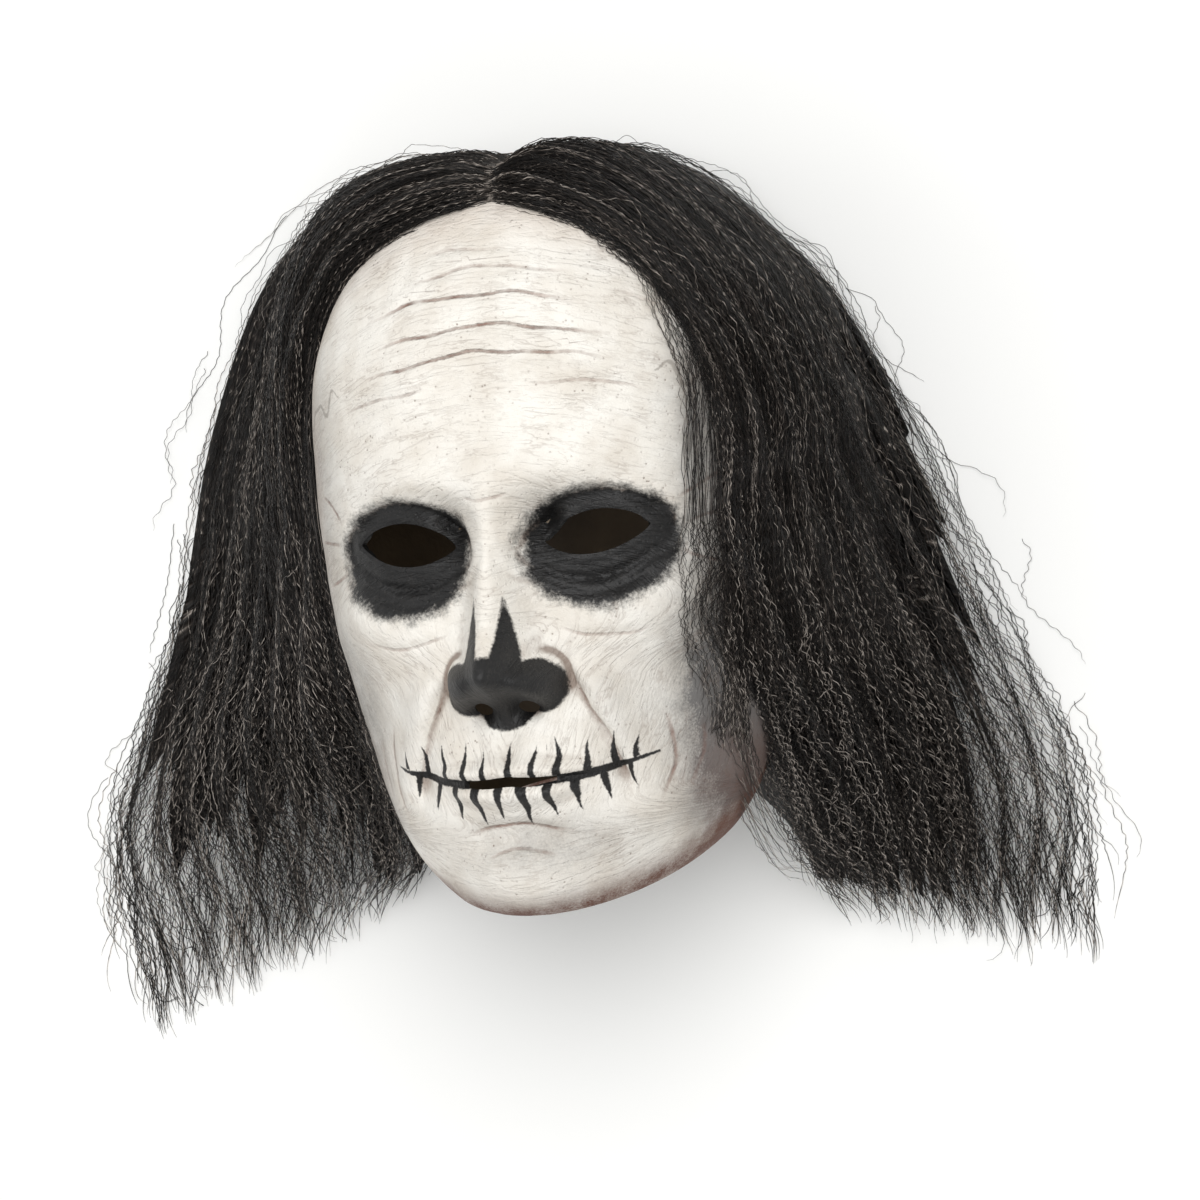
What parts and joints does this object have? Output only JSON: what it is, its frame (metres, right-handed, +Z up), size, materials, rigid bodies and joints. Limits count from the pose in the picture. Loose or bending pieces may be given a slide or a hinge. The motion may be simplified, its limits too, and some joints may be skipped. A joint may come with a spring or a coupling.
{
  "type": "latex witch doctor mask",
  "caption": "Hollow latex head mask lying face up: a calm face painted as a skull, open eyes, mouth and neck, and long black crimped hair parted in the middle.",
  "frame": {"origin": "on the ground, under the middle of the whole mask as it lies face up", "axes": "+Z up, out of the face; +Y along the head from chin to crown; +X to the right of someone who looks at the face with the crown up"},
  "size_m": [0.394, 0.313, 0.2025],
  "materials": {
    "painted_latex": "matt white paint on latex, black round the eyes, nose and mouth, brown wash in the creases",
    "hair": "crimped synthetic fibre, black to dark grey"
  },
  "bodies": {
    "root": {"latex_mask": "painted_latex", "hair_left": "hair", "hair_right": "hair"}
  },
  "joints": []
}
